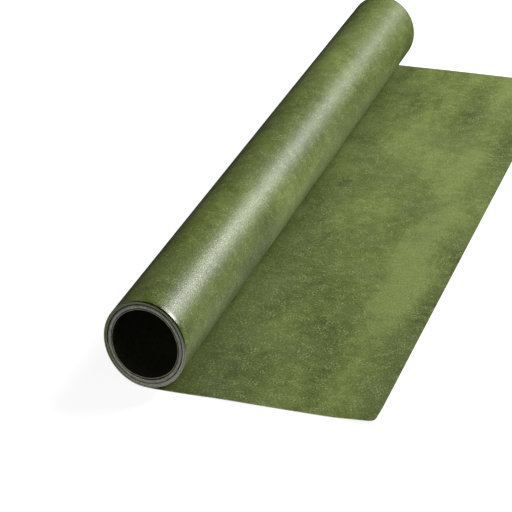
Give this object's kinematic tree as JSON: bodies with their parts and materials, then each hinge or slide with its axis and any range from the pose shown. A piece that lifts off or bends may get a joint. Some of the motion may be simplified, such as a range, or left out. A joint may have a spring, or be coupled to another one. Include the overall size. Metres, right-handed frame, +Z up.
{
  "type": "roll of sign vinyl",
  "caption": "Roll of thick double-faced vinyl sheet on a paper core, lying on its side with its free end pulled out flat; the tail curls back up round the roll.",
  "frame": {"origin": "centre of the bottom face of the bounding box, on the surface that the roll and its tail lie on", "axes": "+Y along the roll's axis from the near open end to the far end, +X the way the tail lies, +Z up"},
  "size_m": [0.2876, 0.9144, 0.0938],
  "materials": {
    "sheet": "satin, leather-grained, marbled olive green",
    "core_paper": "matt grey paperboard",
    "core_liner": "matt dark olive paper",
    "tape": "satin, pale buff"
  },
  "bodies": {
    "roll": {"core_liner_ply": "core_liner", "core_body": "core_paper", "core_finish_ply": "core_paper", "starter_tape": "tape", "tight_turns": "sheet", "outer_turn": "sheet"},
    "tail_01": {"tail_strip_01": "sheet"},
    "tail_02": {"tail_strip_02": "sheet"},
    "tail_03": {"tail_strip_03": "sheet"},
    "tail_04": {"tail_strip_04": "sheet"},
    "tail_05": {"tail_strip_05": "sheet"},
    "tail_06": {"tail_strip_06": "sheet"},
    "tail_07": {"tail_strip_07": "sheet"},
    "tail_08": {"tail_strip_08": "sheet"},
    "tail_09": {"tail_strip_09": "sheet"},
    "tail_10": {"tail_strip_10": "sheet"},
    "tail_11": {"tail_strip_11": "sheet"},
    "tail_12": {"tail_strip_12": "sheet"},
    "tail_13": {"tail_strip_13": "sheet"},
    "tail_14": {"tail_strip_14": "sheet"},
    "tail_15": {"tail_strip_15": "sheet"},
    "tail_16": {"tail_strip_16": "sheet"},
    "tail_17": {"tail_strip_17": "sheet"},
    "tail_18": {"tail_strip_18": "sheet"},
    "tail_19": {"tail_strip_19": "sheet"},
    "tail_20": {"tail_strip_20": "sheet"},
    "tail_21": {"tail_strip_21": "sheet"},
    "tail_22": {"tail_strip_22": "sheet"}
  },
  "joints": [
    {"name": "tail_bend_01", "type": "hinge", "parent": "roll", "child": "tail_01", "pos_m": [-0.09164, 0, 0.0008], "axis": [0, -1, 0], "range_deg": [0, 12]},
    {"name": "tail_bend_02", "type": "hinge", "parent": "tail_01", "child": "tail_02", "pos_m": [-0.08093, 0, 0.0008], "axis": [0, -1, 0], "range_deg": [0, 12]},
    {"name": "tail_bend_03", "type": "hinge", "parent": "tail_02", "child": "tail_03", "pos_m": [-0.07022, 0, 0.0008], "axis": [0, -1, 0], "range_deg": [0, 12]},
    {"name": "tail_bend_04", "type": "hinge", "parent": "tail_03", "child": "tail_04", "pos_m": [-0.05951, 0, 0.0008], "axis": [0, -1, 0], "range_deg": [0, 12]},
    {"name": "tail_bend_05", "type": "hinge", "parent": "tail_04", "child": "tail_05", "pos_m": [-0.0488, 0, 0.0008], "axis": [0, -1, 0], "range_deg": [0, 12]},
    {"name": "tail_bend_06", "type": "hinge", "parent": "tail_05", "child": "tail_06", "pos_m": [-0.03809, 0, 0.0008], "axis": [0, -1, 0], "range_deg": [0, 12]},
    {"name": "tail_bend_07", "type": "hinge", "parent": "tail_06", "child": "tail_07", "pos_m": [-0.02738, 0, 0.0008], "axis": [0, -1, 0], "range_deg": [0, 12]},
    {"name": "tail_bend_08", "type": "hinge", "parent": "tail_07", "child": "tail_08", "pos_m": [-0.01667, 0, 0.0008], "axis": [0, -1, 0], "range_deg": [0, 12]},
    {"name": "tail_bend_09", "type": "hinge", "parent": "tail_08", "child": "tail_09", "pos_m": [-0.00596, 0, 0.0008], "axis": [0, -1, 0], "range_deg": [0, 12]},
    {"name": "tail_bend_10", "type": "hinge", "parent": "tail_09", "child": "tail_10", "pos_m": [0.00476, 0, 0.0008], "axis": [0, -1, 0], "range_deg": [0, 12]},
    {"name": "tail_bend_11", "type": "hinge", "parent": "tail_10", "child": "tail_11", "pos_m": [0.01547, 0, 0.0008], "axis": [0, -1, 0], "range_deg": [0, 12]},
    {"name": "tail_bend_12", "type": "hinge", "parent": "tail_11", "child": "tail_12", "pos_m": [0.02618, 0, 0.0008], "axis": [0, -1, 0], "range_deg": [0, 12]},
    {"name": "tail_bend_13", "type": "hinge", "parent": "tail_12", "child": "tail_13", "pos_m": [0.03689, 0, 0.0008], "axis": [0, -1, 0], "range_deg": [0, 12]},
    {"name": "tail_bend_14", "type": "hinge", "parent": "tail_13", "child": "tail_14", "pos_m": [0.0476, 0, 0.0008], "axis": [0, -1, 0], "range_deg": [0, 12]},
    {"name": "tail_bend_15", "type": "hinge", "parent": "tail_14", "child": "tail_15", "pos_m": [0.05831, 0, 0.0008], "axis": [0, -1, 0], "range_deg": [0, 12]},
    {"name": "tail_bend_16", "type": "hinge", "parent": "tail_15", "child": "tail_16", "pos_m": [0.06902, 0, 0.0008], "axis": [0, -1, 0], "range_deg": [0, 12]},
    {"name": "tail_bend_17", "type": "hinge", "parent": "tail_16", "child": "tail_17", "pos_m": [0.07973, 0, 0.0008], "axis": [0, -1, 0], "range_deg": [0, 12]},
    {"name": "tail_bend_18", "type": "hinge", "parent": "tail_17", "child": "tail_18", "pos_m": [0.09044, 0, 0.0008], "axis": [0, -1, 0], "range_deg": [0, 12]},
    {"name": "tail_bend_19", "type": "hinge", "parent": "tail_18", "child": "tail_19", "pos_m": [0.10116, 0, 0.0008], "axis": [0, -1, 0], "range_deg": [0, 12]},
    {"name": "tail_bend_20", "type": "hinge", "parent": "tail_19", "child": "tail_20", "pos_m": [0.11187, 0, 0.0008], "axis": [0, -1, 0], "range_deg": [0, 12]},
    {"name": "tail_bend_21", "type": "hinge", "parent": "tail_20", "child": "tail_21", "pos_m": [0.12258, 0, 0.0008], "axis": [0, -1, 0], "range_deg": [0, 12]},
    {"name": "tail_bend_22", "type": "hinge", "parent": "tail_21", "child": "tail_22", "pos_m": [0.13329, 0, 0.0008], "axis": [0, -1, 0], "range_deg": [0, 12]}
  ],
  "couplings": [
    {"joint": "tail_bend_02", "follows": "tail_bend_01", "ratio": 1},
    {"joint": "tail_bend_03", "follows": "tail_bend_01", "ratio": 1},
    {"joint": "tail_bend_04", "follows": "tail_bend_01", "ratio": 1},
    {"joint": "tail_bend_05", "follows": "tail_bend_01", "ratio": 1},
    {"joint": "tail_bend_06", "follows": "tail_bend_01", "ratio": 1},
    {"joint": "tail_bend_07", "follows": "tail_bend_01", "ratio": 1},
    {"joint": "tail_bend_08", "follows": "tail_bend_01", "ratio": 1},
    {"joint": "tail_bend_09", "follows": "tail_bend_01", "ratio": 1},
    {"joint": "tail_bend_10", "follows": "tail_bend_01", "ratio": 1},
    {"joint": "tail_bend_11", "follows": "tail_bend_01", "ratio": 1},
    {"joint": "tail_bend_12", "follows": "tail_bend_01", "ratio": 1},
    {"joint": "tail_bend_13", "follows": "tail_bend_01", "ratio": 1},
    {"joint": "tail_bend_14", "follows": "tail_bend_01", "ratio": 1},
    {"joint": "tail_bend_15", "follows": "tail_bend_01", "ratio": 1},
    {"joint": "tail_bend_16", "follows": "tail_bend_01", "ratio": 1},
    {"joint": "tail_bend_17", "follows": "tail_bend_01", "ratio": 1},
    {"joint": "tail_bend_18", "follows": "tail_bend_01", "ratio": 1},
    {"joint": "tail_bend_19", "follows": "tail_bend_01", "ratio": 1},
    {"joint": "tail_bend_20", "follows": "tail_bend_01", "ratio": 1},
    {"joint": "tail_bend_21", "follows": "tail_bend_01", "ratio": 1},
    {"joint": "tail_bend_22", "follows": "tail_bend_01", "ratio": 1}
  ]
}
